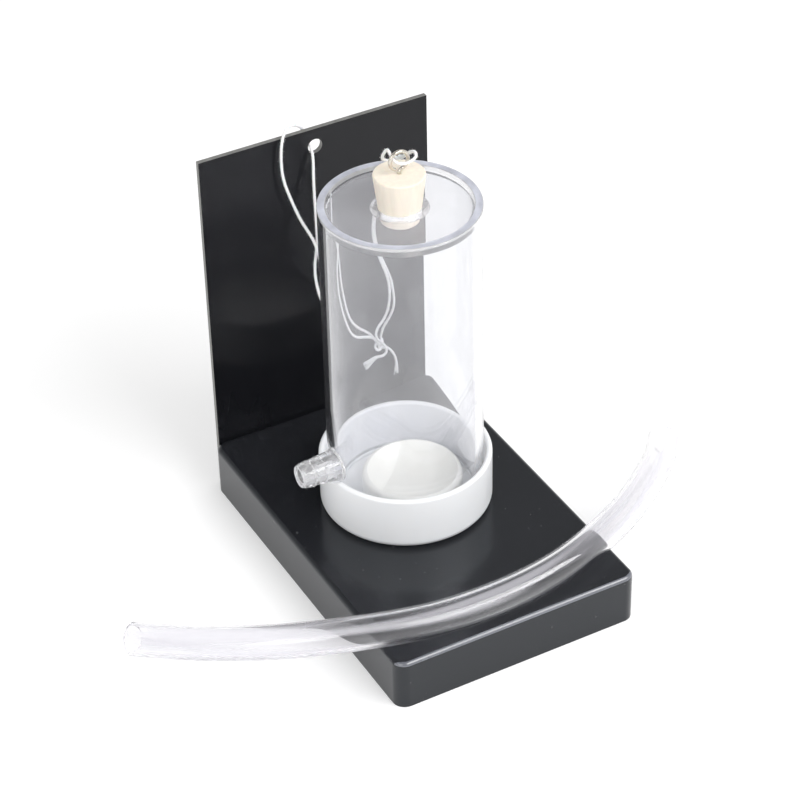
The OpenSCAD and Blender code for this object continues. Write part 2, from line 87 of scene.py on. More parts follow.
# The route of the string through the eye, from the knot and back to it
STOPPER_ROUTE = [
    (15.2, 55.8, 60.2), (11.6, 55.2, 64.4), (12, 55, 68), (14.6, 55, 70.8), (17, 54, 76),
    (17.6, 52.6, 84), (16, 50.6, 92.6), (8.9, 46.4, 111), (6.6, 43.6, 122), (9.2, 39.4, 142),
    (12.2, 37.6, 152.2), (12.8, 36.2, 155.3), (12.4, 33.2, 156.4), (9, 26, 160),
    (3.4, 20.6, 164.8), (-1, 18.5, 168), (-2.2, 15.4, 172.6), (-2, 13, 175), (-1.8, 8.5, 172.8),
    (-0.2, 7, 172), (3.9, 6.6, 172), (6.2, 7.2, 173), (6.9, 9.4, 173.4), (6.4, 12, 172),
    (7, 16.4, 168.4), (9, 22.6, 163.6), (11.6, 29, 159.4), (13.8, 33.4, 156.6),
    (14.6, 35.4, 155.3), (14.4, 36.8, 152.2), (11.2, 39.4, 142), (8, 45, 122), (10, 47.8, 111),
    (17.6, 52, 92.6), (20.2, 53.9, 83), (20.8, 55.2, 76), (19, 56.4, 70.4), (16.4, 57.6, 65.6),
    (15.2, 58.2, 61),
]

# How light the floor looks to the camera, so that it stays white through the clear walls
SEEN_LEVEL = 1.08

# The knot's middle, and the two tails, each from its free end to the knot
KNOT_AT = (14.4, 57, 58.4)
LEFT_TAIL = [
    (6.8, 57, 51.4), (9.6, 57, 52.9), (12.6, 56.8, 53.4), (15.4, 56.2, 53.6), (16.9, 55.9, 55.2),
]
RIGHT_TAIL = [
    (17.6, 57.9, 55.6), (20, 57.6, 53.6), (21.8, 57.3, 50.4), (22.5, 57, 47), (22.4, 57, 43.6),
]

# The route of the hose across the front of the base and down to the table on both sides
HOSE_ROUTE = [
    (-121.6, 0.4, 7), (-111.4, -14.4, 12.2), (-99, -29.2, 17.4), (-85, -42.6, 22),
    (-69, -54, 25.8), (-51, -62.4, 27.9), (-31.8, -67.2, 27.8), (-12, -69, 27.8), (8, -68.2, 27.8),
    (27.6, -64.6, 27.8), (46.4, -58, 27.9), (64, -48.6, 26.4), (79.8, -36.8, 23.2),
    (94, -23.6, 18.6), (105.6, -10.8, 12.6), (114.7, 1.3, 7),
]


# Settings

def a_colour(name, text, default):
    return FloatVectorProperty(
        name=name, description=text, subtype="COLOR", size=3, default=default, min=0, max=1)


def a_length(name, text, default, low, high):
    """A length, with its limits, in millimetres."""
    return FloatProperty(
        name=name, description=text, subtype="DISTANCE", default=default * MM, min=low * MM,
        max=high * MM)


def an_angle(name, text, degrees):
    return FloatProperty(
        name=name, description=text, subtype="ANGLE", default=math.radians(degrees))


def a_number(name, text, default, low=0, high=1, kind=FloatProperty, **more):
    return kind(name=name, description=text, default=default, min=low, max=high, **more)


class StandSettings(PropertyGroup):
    """Colours of the opaque mouldings"""

    black: a_colour("Black moulding", "Colour of the base", (0.0125, 0.0132, 0.0158))
    sheet: a_colour("Black sheet", "Colour of the back plate", (0.007, 0.0073, 0.009))
    milky: a_colour("Milky white", "Colour of the cup", (0.9, 0.912, 0.925))
    ivory: a_colour("Ivory", "Colour of the dish", (0.92, 0.92, 0.875))
    cream: a_colour("Cream wood", "Colour of the stopper", (0.93, 0.85, 0.73))
    plate_edge: a_length("Plate edge", "Bevel of the back plate's edges", 0.25, 0.05, 0.8)


class ClearSettings(PropertyGroup):
    """Clear walls of the tube, its disc and the nozzle"""

    tint: a_colour(
        "Acrylic tint", "Colour that the clear walls give to light", (0.972, 0.976, 0.99))
    acrylic_ior: a_number("Acrylic index", "Index of refraction of the tube", 1.49, 1.3, 1.7)
    disc_ior: a_number(
        "Disc index", "Index of refraction of the disc in the tube's top", 1.4, 1.3, 1.7)
    wall: a_length("Tube wall", "Wall of the tube", 3, 1, 5)
    edge: a_length("Tube edge", "Bevel of the tube's ends", 0.3, 0.1, 1)
    around: a_number(
        "Steps around", "Facets around each turned piece", 256, 48, 512, kind=IntProperty)


class StringSettings(PropertyGroup):
    """The white string"""

    diameter: a_length("Diameter", "Diameter of the string", 1.2, 0.6, 2)
    plies: a_number("Plies", "Yarns twisted together", 3, 2, 5, kind=IntProperty)
    lay: a_length("Lay", "Length of one turn of the yarns", 3.6, 1.5, 10)
    knot_size: a_number("Knot size", "Size of the knot's loops", 0.85, 0.7, 1.2)
    knot_tilt: an_angle("Knot tilt", "Tilt of the knot, seen from the front", 45)
    fibre: a_length(
        "Fibre length", "Length of the fibres that stand out of the string", 0.75, 0.1, 2)
    fibres: a_number(
        "Fibres", "Fibres that stand out, to a square millimetre of string", 2.8, 0, 6)


class HoseSettings(PropertyGroup):
    """The loose clear hose"""

    diameter: a_length("Diameter", "Outer diameter of the hose", 13, 8, 16)
    bore: a_length("Bore", "Bore of the hose", 10, 5, 14)
    length: a_length("Length", "Length of the hose along its middle", 293, 100, 1000)


class StageSettings(PropertyGroup):
    """Camera, floor and lamps"""

    azimuth: an_angle("Azimuth", "Angle of the view from straight ahead", -28.201)
    elevation: an_angle("Elevation", "Angle of the view above the table", 36.852)
    roll: an_angle("Roll", "Tilt of the picture", -1.377)
    place: FloatVectorProperty(
        name="Place", description="Place of the camera", subtype="TRANSLATION", size=3,
        default=(-0.38643, -0.7087, 0.67705))
    lens: a_number(
        "Lens", "Focal length on a frame 36 mm wide, in millimetres", 121.23, 20, 300)
    floor: a_number("Floor", "Lightness of the floor", 0.8)
    key: a_number("Key lamp", "Strength of the large lamp", 10.5, high=50, unit="POWER")
    fill: a_number("Fill lamp", "Strength of the side lamp", 3.0, high=50, unit="POWER")
    around: a_number("Surrounding light", "Light from all sides", 0.73)


# Shapes

def set_normals(mesh, angle=35.0):
    """Smooth shading, with edges sharper than the angle kept crisp."""
    mesh.shade_smooth()
    mesh.set_sharp_from_angle(angle=math.radians(angle))


def weighed(piece):
    """Normals that follow the large faces, so that a long wall stays optically straight."""
    weigh = piece.modifiers.new("weigh", "WEIGHTED_NORMAL")
    weigh.keep_sharp = True
    weigh.weight = 100
    return baked(piece)


def add_piece(name, data):
    """An object with its mesh, camera or lamp, in the scene."""
    piece = bpy.data.objects.new(name, data)
    bpy.context.scene.collection.objects.link(piece)
    return piece


def finished(piece, body, slot, material, *nodes):
    """Gives a piece its material and its body, and hides the plain solids it stands for."""
    piece.data.materials.clear()
    piece.data.materials.append(material)
    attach(piece, body)
    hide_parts(*nodes)
    return piece


def eased_copy(node, name, slot, material, bevel=0.0):
    """A piece of the stand that keeps its plain solid's shape."""
    return finished(merged_copy(node, name, bevel), "stand", slot, material, node)


def add_second(piece, material, chosen):
    """A further material on the faces that a test picks."""
    piece.data.materials.append(material)
    index = len(piece.data.materials) - 1
    for face in piece.data.polygons:
        if chosen(face):
            face.material_index = index


def baked(piece):
    """Turns a piece with live modifiers into a plain mesh."""
    bpy.context.view_layer.update()
    graph = bpy.context.evaluated_depsgraph_get()
    mesh = bpy.data.meshes.new_from_object(piece.evaluated_get(graph))
    piece.modifiers.clear()
    old = piece.data
    piece.data = mesh
    bpy.data.meshes.remove(old)
    return piece


def merged_copy(node, name, bevel=0.0):
    """A joined-up copy of a plain solid, with its flat faces cleaned and its edges eased."""
    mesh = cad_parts[node].data.copy()
    work = bmesh.new()
    work.from_mesh(mesh)
    bmesh.ops.remove_doubles(work, verts=work.verts, dist=1e-6)
    bmesh.ops.dissolve_limit(
        work, angle_limit=math.radians(0.4), verts=work.verts, edges=work.edges)
    work.to_mesh(mesh)
    work.free()
    piece = add_piece(name, mesh)
    if bevel:
        ease = piece.modifiers.new("ease", "BEVEL")
        ease.width = bevel
        ease.segments = 3
        ease.limit_method = "ANGLE"
        ease.angle_limit = math.radians(50)
        baked(piece)
    set_normals(piece.data)
    return weighed(piece)


def eased(outline, radii, steps):
    """A closed outline whose corners are rounded, each by its own radius."""
    out, most = [], 0.49
    for i, (corner, radius) in enumerate(zip(outline, radii)):
        here = Vector(corner)
        if not radius:
            out.append(here)
            continue
        back = Vector(outline[i - 1]) - here
        ahead = Vector(outline[(i + 1) % len(outline)]) - here
        half = back.angle(ahead) / 2
        run = min(radius / math.tan(half), most * back.length, most * ahead.length)
        radius = run * math.tan(half)
        middle = here + (back.normalized() + ahead.normalized()).normalized() * (
            radius / math.sin(half))
        first = here + back.normalized() * run - middle
        last = here + ahead.normalized() * run - middle
        for k in range(steps + 1):
            out.append(middle + radius * first.slerp(last, k / steps))
    return out


def turned(name, outline, steps, closed=False):
    """A turned piece about the tube's axis, from an outline of radius and height.
    The outline runs anticlockwise in the plane of radius and height. An open one starts and
    ends on the axis."""
    work = bmesh.new()
    axis = Vector((TUBE_AXIS.x, TUBE_AXIS.y, 0))
    rings = []
    for radius, height in outline:
        turns = [2 * math.pi * k / steps for k in range(steps if radius else 1)]
        rings.append([
            work.verts.new(axis + Vector((
                radius * math.cos(turn), radius * math.sin(turn), height))) for turn in turns])
    pairs = list(zip(rings, rings[1:]))
    if closed:
        pairs.append((rings[-1], rings[0]))
    for low, high in pairs:
        for k in range(steps):
            n = (k + 1) % steps
            corners = (low[k % len(low)], low[n % len(low)], high[n % len(high)],
                       high[k % len(high)])
            work.faces.new(tuple(dict.fromkeys(corners)))
    bmesh.ops.recalc_face_normals(work, faces=work.faces)
    mesh = bpy.data.meshes.new(name)
    work.to_mesh(mesh)
    work.free()
    return add_piece(name, mesh)


def quarter(radius, height, across, up):
    """A quarter of an ellipse about a point, from its side to its top."""
    turns = [math.radians(9 * k) for k in range(11)]
    return [(radius + across * math.cos(t), height + up * math.sin(t)) for t in turns]


def stopper_radius(height):
    """Radius of the tapered stopper at a height."""
    wide, narrow = 9.7 * MM, 7.1 * MM
    share = (height - STOPPER_LOW.z) / (STOPPER_HIGH.z - STOPPER_LOW.z)
    return narrow + (wide - narrow) * share


def cut(piece, cutter):
    """Cuts one piece with another, which is then thrown away."""
    blade = piece.modifiers.new("cut", "BOOLEAN")
    blade.operation = "DIFFERENCE"
    blade.solver = "EXACT"
    blade.object = cutter
    baked(piece)
    bpy.data.objects.remove(cutter)


def rod(name, start, end, radius):
    """A straight closed rod between two points."""
    start, end = Vector(start), Vector(end)
    work = bmesh.new()
    turn = (end - start).to_track_quat("Z", "Y").to_matrix().to_4x4()
    bmesh.ops.create_cone(
        work, cap_ends=True, segments=64, radius1=radius, radius2=radius,
        depth=(end - start).length, matrix=Matrix.Translation((start + end) / 2) @ turn)
    mesh = bpy.data.meshes.new(name)
    work.to_mesh(mesh)
    work.free()
    return add_piece(name, mesh)


def from_axis(face):
    """How far a face lies from the tube's axis."""
    return math.hypot(face.center.x - TUBE_AXIS.x, face.center.y - TUBE_AXIS.y)


def smooth_path(points, step):
    """Points at equal steps along the smoothest curve through the given ones."""
    p = np.array(points, float)
    n = len(p)
    gaps = np.linalg.norm(np.diff(p, axis=0), axis=1)
    at = np.concatenate([[0], np.cumsum(gaps)])
    system = np.zeros((n, n))
    right = np.zeros((n, 3))
    system[0, 0] = system[-1, -1] = 1
    for i in range(1, n - 1):
        system[i, i - 1:i + 2] = gaps[i - 1], 2 * (gaps[i - 1] + gaps[i]), gaps[i]
        right[i] = 6 * ((p[i + 1] - p[i]) / gaps[i] - (p[i] - p[i - 1]) / gaps[i - 1])
    bend = np.linalg.solve(system, right)

    def place(t):
        i = np.clip(np.searchsorted(at, t, side="right") - 1, 0, n - 2)
        h, a, b = gaps[i][:, None], (at[i + 1] - t)[:, None], (t - at[i])[:, None]
        return (
            bend[i] * a ** 3 / (6 * h) + bend[i + 1] * b ** 3 / (6 * h)
            + (p[i] / h - bend[i] * h / 6) * a + (p[i + 1] / h - bend[i + 1] * h / 6) * b)

    fine = place(np.linspace(0, at[-1], 40 * n))
    run = np.concatenate([[0], np.cumsum(np.linalg.norm(np.diff(fine, axis=0), axis=1))])
    count = max(2, int(round(run[-1] / step)) + 1)
    even = np.linspace(0, run[-1], count)
    return np.stack([np.interp(even, run, fine[:, k]) for k in range(3)], 1), run[-1]


def relaxed(path, width):
    """The same curve with its small unevenness averaged out; its ends stay."""
    weights = np.hanning(width + 3)[1:-1]
    weights /= weights.sum()
    half = len(weights) // 2
    before = 2 * path[0] - path[half:0:-1]
    after = 2 * path[-1] - path[-2:-half - 2:-1]
    padded = np.concatenate([before, path, after])
    return np.stack([np.convolve(padded[:, k], weights, "valid") for k in range(3)], 1)


def circle(steps, radius):
    """The angles and radii of a round outline."""
    return np.linspace(0, 2 * math.pi, steps, endpoint=False), np.full(steps, radius)


def carried_frames(path):
    """Two directions square to the path at each point, carried along it without twist."""
    heads = np.gradient(path, axis=0)
    heads /= np.linalg.norm(heads, axis=1)[:, None]
    any_way = (0.31, 0.17, 0.94)
    side = np.cross(heads[0], any_way)
    sides = []
    for head in heads:
        side = side - head * (side @ head)
        side = side / np.linalg.norm(side)
        sides.append(side)
    sides = np.array(sides)
    return sides, np.cross(heads, sides)


def swept(name, path, section, inner=None):
    """A skin along a path. section(i) gives the outline at step i as angles and radii.
    Its ends are closed flat, or as flat rings where inner, the radius of a bore, is given."""
    sides, ups = carried_frames(path)
    outlines = [section(i) for i in range(len(path))]

    def row(i, angles, radii):
        return path[i] + radii * (
            np.cos(angles)[:, None] * sides[i] + np.sin(angles)[:, None] * ups[i])

    rows = [row(i, angles, radii[:, None]) for i, (angles, radii) in enumerate(outlines)]
    ring = len(rows[0])
    shift = ring * len(path)
    last = shift - ring
    pairs = [(k, (k + 1) % ring) for k in range(ring)]
    faces = [
        (a + k, a + n, a + ring + n, a + ring + k) for a in range(0, last, ring) for k, n in pairs]
    if inner is None:
        faces += [tuple(range(ring - 1, -1, -1)), tuple(range(last, shift))]
    else:
        rows += [row(i, angles, inner) for i, (angles, _) in enumerate(outlines)]
        faces += [
            (a + k, a + ring + k, a + ring + n, a + n)
            for a in range(shift, shift + last, ring) for k, n in pairs]
        for k, n in pairs:
            faces.append((k, shift + k, shift + n, n))
            faces.append((last + k, last + n, shift + last + n, shift + last + k))
    mesh = bpy.data.meshes.new(name)
    mesh.from_pydata([tuple(v) for v in np.concatenate(rows)], [], faces)
    mesh.validate()
    return mesh


# Nodes and materials

def put(socket, value):
    """Sets a node's input, or links it to an output. A node stands for its first output."""
    if isinstance(value, bpy.types.Node):
        value = value.outputs[0]
    if isinstance(value, bpy.types.NodeSocket):
        socket.id_data.links.new(value, socket)
    else:
        socket.default_value = value


def fill(node, **values):
    """Sets or links a node's inputs by their names, with _ for each space."""
    for name, value in values.items():
        put(node.inputs[name.replace("_", " ")], value)
    return node


def add_node(tree, kind, **values):
    return fill(tree.nodes.new(kind), **values)


def new_material(name):
    """A material with its node tree and its shader."""
    made = bpy.data.materials.new(name)
    made.use_nodes = True
    tree = made.node_tree
    return made, tree, tree.nodes["Principled BSDF"]


def object_noise(tree, scale, detail=3.0, rough=0.5, stretch=(1, 1, 1)):
    """A noise on the piece's own coordinates."""
    place = tree.nodes.new("ShaderNodeTexCoord").outputs["Object"]
    turn = add_node(tree, "ShaderNodeMapping", Vector=place, Scale=stretch)
    return add_node(tree, "ShaderNodeTexNoise", Vector=turn, Scale=scale, Detail=detail,
                    Roughness=rough)


def drawn_noise(tree):
    """A noise in streaks along a drawn piece, on the piece's own attribute."""
    place = tree.nodes.new("ShaderNodeAttribute")
    place.attribute_name = "drawn"
    return add_node(tree, "ShaderNodeTexNoise", Vector=place.outputs["Vector"], Scale=140,
                    Detail=1, Roughness=0.45)


def ranged(tree, value, low, high, out_low, out_high):
    """Maps a stretch of a value to another stretch."""
    return add_node(tree, "ShaderNodeMapRange", Value=value, From_Min=low, From_Max=high,
                    To_Min=out_low, To_Max=out_high)


def spread(tree, noise, low, high):
    """Stretches a noise, most of which keeps near its middle, to a whole range."""
    return ranged(tree, noise, 0.3, 0.7, low, high)


def worked(tree, operation, first, second):
    """One sum on two values."""
    made = tree.nodes.new("ShaderNodeMath")
    made.operation = operation
    put(made.inputs[0], first)
    put(made.inputs[1], second)
    return made


def mixed_colour(tree, factor, first, second):
    """Two colours mixed by a factor."""
    made = tree.nodes.new("ShaderNodeMix")
    made.data_type = "RGBA"
    return fill(made, Factor=factor, A=(*first, 1), B=(*second, 1)).outputs["Result"]


def mixed_shader(tree, factor, first, second):
    """Two shaders mixed by a factor."""
    made = tree.nodes.new("ShaderNodeMixShader")
    for socket, value in zip(made.inputs, (factor, first, second)):
        put(socket, value)
    return made


def add_bump(tree, shader, height, strength, distance):
    """Relief of a given depth, in metres."""
    fill(shader, Normal=add_node(
        tree, "ShaderNodeBump", Strength=strength, Distance=distance, Height=height))


def black_moulding(colour):
    """Moulded black plastic: a fine satin grain, faint flow marks and a little dust."""
    made, tree, shader = new_material("black_moulding")
    grain = object_noise(tree, 1400, 2)
    flow = object_noise(tree, 28, 3, stretch=(1, 0.35, 1))
    dust = object_noise(tree, 620, 1, 0.4)
    specks = ranged(tree, dust, 0.76, 0.8, 0, 0.22)
    fill(shader, Base_Color=mixed_colour(tree, specks, colour, (0.3, 0.3, 0.3)),
         Roughness=spread(tree, flow, 0.15, 0.23), IOR=1.5, Specular_Tint=(0.9, 0.95, 1.0, 1))
    add_bump(tree, shader, grain, 0.12, 0.00003)
    return made


def painted_highlight_edge(colour):
    """The rounded front edge of the base, with a painted highlight: a colour 7 to 12 times paler
    than the base, and a stronger gloss.
    """
    made, tree, shader = new_material("painted_highlight_edge")
    highlight_patches = object_noise(tree, 120, 3, stretch=(0.4, 1, 1))
    # Painted highlight: paler colours standing for the lamp's reflection along the edge
    highlight_dim, highlight_bright = tuple(7 * c for c in colour), tuple(12 * c for c in colour)
    fill(shader, Base_Color=mixed_colour(tree, highlight_patches, highlight_dim, highlight_bright),
         Roughness=spread(tree, highlight_patches, 0.24, 0.34), IOR=2.0)
    return made


def black_sheet(colour):
    """Glossy black sheet with faint wipe marks."""
    made, tree, shader = new_material("black_sheet")
    wipe = object_noise(tree, 22, 4, 0.55, stretch=(1, 1, 0.3))
    haze = ranged(tree, wipe, 0.35, 0.75, 0.0, 0.35)
    fill(shader, Base_Color=mixed_colour(tree, haze, colour, (0.018, 0.0185, 0.021)),
         Roughness=spread(tree, wipe, 0.08, 0.16), IOR=1.32)
    return made


def sawn_sheet_painted_highlight():
    """The saw-cut edges of the black sheet, paler than its faces, partly for their saw-cut finish
    and partly as a painted highlight.
    """
    made, tree, shader = new_material("sawn_sheet_painted_highlight")
    marks = object_noise(tree, 500, 3, stretch=(1, 0.1, 1))
    fill(shader, Base_Color=mixed_colour(tree, marks, (0.1, 0.1, 0.095), (0.26, 0.26, 0.25)),
         Roughness=spread(tree, marks, 0.3, 0.45))
    return made


def milky_moulding(name, colour, glow, rough):
    """Pale plastic that light sinks into."""
    made, tree, shader = new_material(name)
    flow = object_noise(tree, 60, 3)
    shade = tuple(0.965 * c for c in colour)
    fill(shader, Base_Color=mixed_colour(tree, flow, colour, shade),
         Roughness=spread(tree, flow, rough - 0.04, rough + 0.04), Subsurface_Weight=glow,
         Subsurface_Radius=(1.0, 0.95, 0.9), Subsurface_Scale=0.0025)
    return made


def clear_wall(name, tint, ior, rough, haze, haze_colour, fade=(0.55, 0.92), inside=False,
               drawn=False):
    """A clear wall: it bends what is behind it, and a thin haze of fine marks scatters light.
    Soft light from the lamps and the room passes it unbent, so what is inside is lit evenly.
    The haze thins out over the fade, from straight to glancing; on an inside wall only for
    light that comes through the wall. Drawn marks run along the piece as broad streaks."""
    made, tree, shader = new_material(name)
    if drawn:
        marks, few, many = drawn_noise(tree), 0.49, 0.64
        clear_patch, marked_patch = 0.05 * haze, 7 * haze
    else:
        marks, few, many = object_noise(tree, 90, 4, 0.6, stretch=(1, 1, 0.25)), 0.3, 0.75
        clear_patch, marked_patch = 0.8 * haze, 1.3 * haze
    fill(shader, Base_Color=(*tint, 1), Transmission_Weight=1.0, IOR=ior,
         Roughness=ranged(tree, marks, 0.35, 0.7, rough, rough + 0.02))
    passed = add_node(tree, "ShaderNodeBsdfTransparent", Color=(0.985, 0.985, 0.99, 1))
    rays = tree.nodes.new("ShaderNodeLightPath").outputs
    soft = worked(tree, "MAXIMUM", rays["Is Shadow Ray"], rays["Is Diffuse Ray"])
    wall = mixed_shader(tree, soft, shader, passed)
    scatter = add_node(tree, "ShaderNodeBsdfDiffuse", Color=(*haze_colour, 1))
    through = add_node(tree, "ShaderNodeBsdfTranslucent", Color=(*haze_colour, 1))
    both = mixed_shader(tree, 0.5, scatter, through)
    tilt = tree.nodes.new("ShaderNodeLayerWeight").outputs["Facing"]
    lost = ranged(tree, tilt, *fade, 0.0, 0.9)
    if inside:
        side = tree.nodes.new("ShaderNodeNewGeometry").outputs["Backfacing"]
        lost = worked(tree, "MULTIPLY", lost, side)
    kept = ranged(tree, lost, 0, 1, 1, 0)
    density = ranged(tree, marks, few, many, clear_patch, marked_patch)
    thin = worked(tree, "MULTIPLY", kept, density)
    fill(tree.nodes["Material Output"], Surface=mixed_shader(tree, thin, wall, both))
    return made


def pale_wood(colour):
    """Smooth pale wood with a faint upright grain."""
    made, tree, shader = new_material("stopper_wood")
    grain = object_noise(tree, 420, 4, 0.6, stretch=(1, 1, 0.08))
    patch = object_noise(tree, 130, 2)
    dark = tuple(0.9 * c for c in colour)
    fill(shader, Base_Color=mixed_colour(tree, ranged(tree, grain, 0.35, 0.7, 0, 1), colour, dark),
         Roughness=spread(tree, patch, 0.5, 0.62), Subsurface_Weight=0.12, Subsurface_Scale=0.001)
    add_bump(tree, shader, grain, 0.35, 0.00006)
    return made


def nickel_wire():
    """Nickel plated wire, a little uneven."""
    made, tree, shader = new_material("nickel_wire")
    uneven = object_noise(tree, 900, 2)
    fill(shader, Base_Color=(0.66, 0.62, 0.55, 1), Metallic=1.0,
         Roughness=spread(tree, uneven, 0.16, 0.3))
    add_bump(tree, shader, uneven, 0.2, 0.00004)
    return made


def screw_steel():
    """Plated steel of the hidden screws and washers."""
    made, tree, shader = new_material("screw_steel")
    fill(shader, Base_Color=(0.56, 0.56, 0.55, 1), Metallic=1.0,
         Roughness=spread(tree, object_noise(tree, 700, 2), 0.25, 0.42))
    return made


def soft_rubber():
    """Pale soft rubber of the gasket."""
    made, tree, shader = new_material("gasket")
    uneven = object_noise(tree, 500, 2)
    fill(shader, Base_Color=(0.82, 0.84, 0.86, 1), Roughness=spread(tree, uneven, 0.5, 0.65))
    add_bump(tree, shader, uneven, 0.2, 0.00003)
    return made


def white_string():
    """Cotton string: soft, matt, with fine fibres."""
    made, tree, shader = new_material("string")
    fibre = object_noise(tree, 5200, 3, 0.6)
    light, dark = (0.96, 0.96, 0.955), (0.86, 0.865, 0.87)
    fill(shader, Base_Color=mixed_colour(tree, spread(tree, fibre, 0, 1), light, dark),
         Roughness=0.85, Sheen_Weight=0.3, Sheen_Roughness=0.4, Subsurface_Weight=0.1,
         Subsurface_Scale=0.0006)
    add_bump(tree, shader, fibre, 0.5, 0.00005)
    return made


# The pieces

def settings():
    return bpy.context.scene.gas_work


class OBJECT_OT_gas_stage(Operator):
    """Camera, pale floor, soft lamps and the light around"""

    bl_idname = "object.gas_stage"
    bl_label = "Stage"

    def execute(self, context):
        stage = settings().stage
        scene = context.scene
        scene.view_settings.view_transform = "Standard"
        self.place_camera(scene, stage)
        self.lay_floor(stage)
        self.hang_lamp("key_lamp", (0.46, -0.8, 0.95), (1.1, 0.55), stage.key)
        self.hang_lamp("fill_lamp", (-0.95, -0.6, 0.75), (0.7, 0.7), stage.fill)
        self.light_around(scene, stage)
        return {"FINISHED"}

    def place_camera(self, scene, stage):
        lens = bpy.data.cameras.new("camera")
        lens.lens = stage.lens
        lens.clip_start = 0.01
        camera = add_piece("camera", lens)
        a, e, r = stage.azimuth, stage.elevation, stage.roll
        back = Vector((math.sin(a) * math.cos(e), -math.cos(a) * math.cos(e), math.sin(e)))
        right = Vector((0, 0, 1)).cross(back).normalized()
        up = back.cross(right)
        across = math.cos(r) * right + math.sin(r) * up
        upward = -math.sin(r) * right + math.cos(r) * up
        turn = Matrix((across, upward, back)).transposed().to_4x4()
        camera.matrix_world = Matrix.Translation(stage.place) @ turn
        scene.camera = camera

    def lay_floor(self, stage):
        half = 3.0
        mesh = bpy.data.meshes.new("floor")
        mesh.from_pydata(
            [(-half, -half, 0), (half, -half, 0), (half, half, 0), (-half, half, 0)], [],
            [(0, 1, 2, 3)])
        floor = add_piece("floor", mesh)
        made, tree, shader = new_material("floor")
        level = stage.floor
        fill(shader, Base_Color=(level, level, level, 1), Roughness=0.9, Specular_IOR_Level=0.1)
        glow = ranged(tree, self.seen_directly(tree), 0, 1, 0, SEEN_LEVEL - level)
        lift = add_node(tree, "ShaderNodeEmission", Strength=glow)
        total = tree.nodes.new("ShaderNodeAddShader")
        put(total.inputs[0], shader)
        put(total.inputs[1], lift)
        fill(tree.nodes["Material Output"], Surface=total)
        mesh.materials.append(made)

    def seen_directly(self, tree):
        """1 for the rays that show the background, directly, in gloss or through clear walls."""
        rays = tree.nodes.new("ShaderNodeLightPath").outputs
        direct = worked(tree, "MAXIMUM", rays["Is Camera Ray"], rays["Is Glossy Ray"])
        return worked(tree, "MAXIMUM", direct, rays["Is Transmission Ray"])

    def hang_lamp(self, name, place, size, power):
        lamp = bpy.data.lights.new(name, "AREA")
        lamp.shape = "RECTANGLE"
        lamp.size, lamp.size_y = size
        lamp.energy = power
        holder = add_piece(name, lamp)
        aim = Vector((0, 0, 0.07))
        turn = (Vector(place) - aim).to_track_quat("Z", "Y").to_matrix().to_4x4()
        holder.matrix_world = Matrix.Translation(place) @ turn

    def light_around(self, scene, stage):
        world = bpy.data.worlds.new("studio")
        world.use_nodes = True
        scene.world = world
        tree = world.node_tree
        place = tree.nodes.new("ShaderNodeTexCoord").outputs["Generated"]
        parts = add_node(tree, "ShaderNodeSeparateXYZ", Vector=place)
        darker_up = ranged(tree, parts.outputs["Z"], 0.15, 0.6, 1.0, 0.35)
        shown = fill(tree.nodes["Background"], Color=(1, 1, 1, 1), Strength=darker_up)
        hidden = add_node(
            tree, "ShaderNodeBackground", Color=(1, 1, 1, 1), Strength=stage.around)
        light = mixed_shader(tree, self.seen_directly(tree), hidden, shown)
        fill(tree.nodes["World Output"], Surface=light)


class OBJECT_OT_gas_hose(Operator):
    """The loose clear hose across the front of the base"""

    bl_idname = "object.gas_hose"
    bl_label = "Hose"

    def execute(self, context):
        hose = settings().hose
        route = [tuple(MM * v for v in point) for point in HOSE_ROUTE]
        path, length = smooth_path(route, 0.8 * MM)
        path = relaxed(path, 30)[1:-1]
        angles, radii = circle(96, hose.diameter / 2)
        mesh = swept("clear_hose", path, lambda i: (angles, radii), inner=hose.bore / 2)
        set_normals(mesh, 40)
        self.mark_length(mesh, angles, len(path), length)
        piece = add_piece("clear_hose", mesh)
        vinyl = clear_wall("clear_hose", (0.965, 0.96, 0.975), 1.5, 0.03, 0.06,
                           (0.95, 0.94, 0.98), fade=(0.8, 0.95), drawn=True)
        finished(piece, "hose", "clear_hose", vinyl, "hose")
        if abs(length - hose.length) > 0.02 * hose.length:
            raise RuntimeError(f"the hose's route is {length:.4f} m long")
        return {"FINISHED"}

    def mark_length(self, mesh, angles, count, length):
        """The place round and along the hose, for streaks many times as long as wide."""
        radius, stretch = settings().hose.diameter / 2, 16
        along = np.repeat(np.linspace(0, length / stretch, count), len(angles))
        turn = np.tile(angles, count)
        place = np.stack([radius * np.cos(turn), radius * np.sin(turn), along], 1)
        drawn = mesh.attributes.new("drawn", "FLOAT_VECTOR", "POINT")
        drawn.data.foreach_set("vector", np.concatenate([place, place]).ravel())


def string_section(plies, diameter, lay, step):
    """The outline of twisted yarns, turned a little further at each step."""
    radius = diameter / 2
    yarn, off = 0.52 * radius, 0.48 * radius
    angles, _ = circle(18, radius)
    sector = 2 * math.pi / plies

    def outline(i):
        turn = 2 * math.pi * i * step / lay
        near = (angles + turn + sector / 2) % sector - sector / 2
        return angles, off * np.cos(near) + np.sqrt(yarn ** 2 - (off * np.sin(near)) ** 2)

    return outline


def string_mesh(name, route):
    """A length of twisted string along a route in millimetres."""
    string = settings().string
    step = 0.3 * MM
    path, length = smooth_path([tuple(MM * v for v in point) for point in route], step)
    outline = string_section(string.plies, string.diameter, string.lay, step)
    mesh = swept(name, path, outline)
    set_normals(mesh, 75)
    return add_piece(name, mesh), path, length


